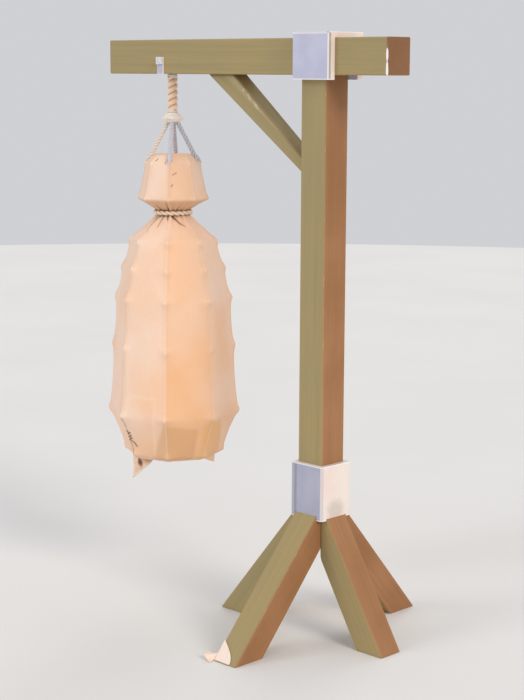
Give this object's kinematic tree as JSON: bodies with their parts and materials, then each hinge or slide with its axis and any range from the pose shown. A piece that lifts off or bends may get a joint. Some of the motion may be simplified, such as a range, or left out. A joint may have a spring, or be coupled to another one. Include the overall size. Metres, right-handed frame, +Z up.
{
  "type": "punching bag on stand",
  "caption": "Stuffed canvas punching bag hung by a short rope and swivel cap from the braced beam of a timber post on four splayed legs.",
  "frame": {"origin": "on the floor, at the centre of the footprint in X and of the legs in Y", "axes": "+Z up; +X along the beam, from the bag's end to the stub end; +Y across the beam, towards the back"},
  "size_m": [1.468, 1.0148, 2.23],
  "materials": {
    "timber": "planed softwood, olive-brown stain, arrises worn pale",
    "pale_iron": "pale grey paint over a fine casting skin, edges worn white",
    "pale_metal": "pale grey paint, satin",
    "cream_metal": "cream paint, satin, chipped at the rim",
    "steel": "dull zinc",
    "bronze": "dull bronze",
    "rope_fibre": "four-strand laid fibre rope",
    "cord_fibre": "grey laid cord",
    "canvas": "heavy plain-weave canvas, pale peach, matt",
    "stuffing": "packed straw and rags",
    "dark_thread": "waxed dark brown thread",
    "pale_cloth": "scrap of pale cloth"
  },
  "bodies": {
    "stand": {"post": "timber", "beam": "timber", "brace": "timber", "top_saddle": "pale_iron", "saddle_screws": "steel", "tenon_pegs": "timber", "base_collar": "pale_iron", "collar_screws": "steel", "leg_front": "timber", "leg_back": "timber", "leg_arm_side": "timber", "leg_stub_side": "timber", "leg_screws": "steel", "leg_washers": "steel", "brace_screws": "steel", "hanger_plate_front": "pale_metal", "hanger_plate_back": "pale_metal", "hanger_bolt": "pale_metal", "hanger_nut": "steel", "hanger_washer": "steel", "link_spacers": "steel", "foot_wrap": "pale_cloth", "foot_wrap_tail": "pale_cloth"},
    "link": {"swing_link": "pale_metal", "link_pin": "steel", "split_pin": "steel"},
    "rope_hanger": {"rope_socket": "cream_metal", "rope": "rope_fibre", "rope_end_socket": "cream_metal", "socket_rivets": "steel"},
    "bag": {"swivel_bush": "bronze", "thrust_washer": "bronze", "cap_top": "cream_metal", "cap_base": "cream_metal", "suspension_cords": "cord_fibre", "cord_eyelets": "bronze", "rim_hoop": "steel", "bag_canvas": "canvas", "head_canvas": "canvas", "bag_lid": "canvas", "bag_base": "canvas", "head_filling": "stuffing", "body_filling": "stuffing", "neck_tie": "cord_fibre", "corner_ear_large": "canvas", "corner_ear_small": "canvas", "repair_stitches": "dark_thread"}
  },
  "joints": [
    {"name": "swing_along_beam", "type": "hinge", "parent": "stand", "child": "link", "pos_m": [-0.432, 0, 2.13], "axis": [0, 1, 0], "range_deg": [-18, 28]},
    {"name": "swing_across_beam", "type": "hinge", "parent": "link", "child": "rope_hanger", "pos_m": [-0.432, 0, 2.094], "axis": [1, 0, 0], "range_deg": [-28, 28]},
    {"name": "bag_swivel", "type": "hinge", "parent": "rope_hanger", "child": "bag", "pos_m": [-0.432, 0, 1.91], "axis": [0, 0, 1], "continuous": true}
  ]
}
